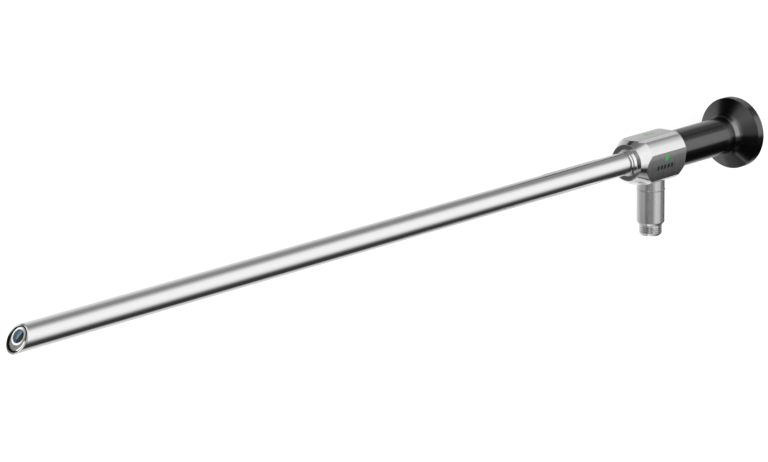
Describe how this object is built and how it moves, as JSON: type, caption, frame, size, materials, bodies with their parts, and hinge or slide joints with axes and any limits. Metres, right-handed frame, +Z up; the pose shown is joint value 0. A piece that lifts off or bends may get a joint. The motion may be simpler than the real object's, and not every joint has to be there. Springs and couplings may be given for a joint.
{
  "type": "rigid endoscope",
  "caption": "Rigid endoscope: long steel tube with a slanted viewing end, steel hub with a side light post, and a black flared eyepiece.",
  "frame": {"origin": "on the surface that the scope lies on, under the middle of its bounding box", "axes": "+X is the level line under the tube, towards the eyepiece; +Z is up; the light post points towards -Y and a little down"},
  "size_m": [0.4319, 0.051, 0.0321],
  "materials": {
    "polished_steel": "polished",
    "satin_steel": "satin",
    "drawn_steel": "drawn",
    "black_shell": "satin",
    "window_glass": "coated",
    "optical_glass": "polished",
    "fibre_glass": "ground flat",
    "black_metal": "black anodised",
    "seal_rubber": "moulded"
  },
  "bodies": {
    "root": {"cell_ring": "black_metal", "eye_lens": "optical_glass", "eyepiece_shell": "black_shell", "eyepiece_window": "window_glass", "fibre_ferrule": "satin_steel", "field_lens": "optical_glass", "field_stop": "black_metal", "front_window": "window_glass", "hub_body": "satin_steel", "image_tube": "drawn_steel", "lens_sleeve": "black_metal", "light_fibres": "fibre_glass", "light_inlet_glass": "window_glass", "light_post_adapter": "satin_steel", "light_post_base": "satin_steel", "light_post_seal": "seal_rubber", "objective_front": "optical_glass", "objective_rear": "optical_glass", "objective_ring": "black_metal", "ocular_cell": "black_metal", "ocular_housing": "drawn_steel", "ocular_lens_ring": "black_metal", "ocular_spacer": "black_metal", "outer_tube": "polished_steel", "rod_lens_1": "optical_glass", "rod_lens_2": "optical_glass", "rod_lens_3": "optical_glass", "rod_lens_4": "optical_glass", "rod_lens_5": "optical_glass", "rod_lens_6": "optical_glass", "rod_lens_7": "optical_glass", "rod_spacer_1": "black_metal", "rod_spacer_2": "black_metal", "rod_spacer_3": "black_metal", "rod_spacer_4": "black_metal", "rod_spacer_5": "black_metal", "rod_spacer_6": "black_metal", "rod_spacer_7": "black_metal", "rod_spacer_8": "black_metal", "tube_collar": "polished_steel", "view_prism": "optical_glass", "window_bezel": "polished_steel", "window_ring": "satin_steel", "window_seal": "seal_rubber"}
  },
  "joints": []
}
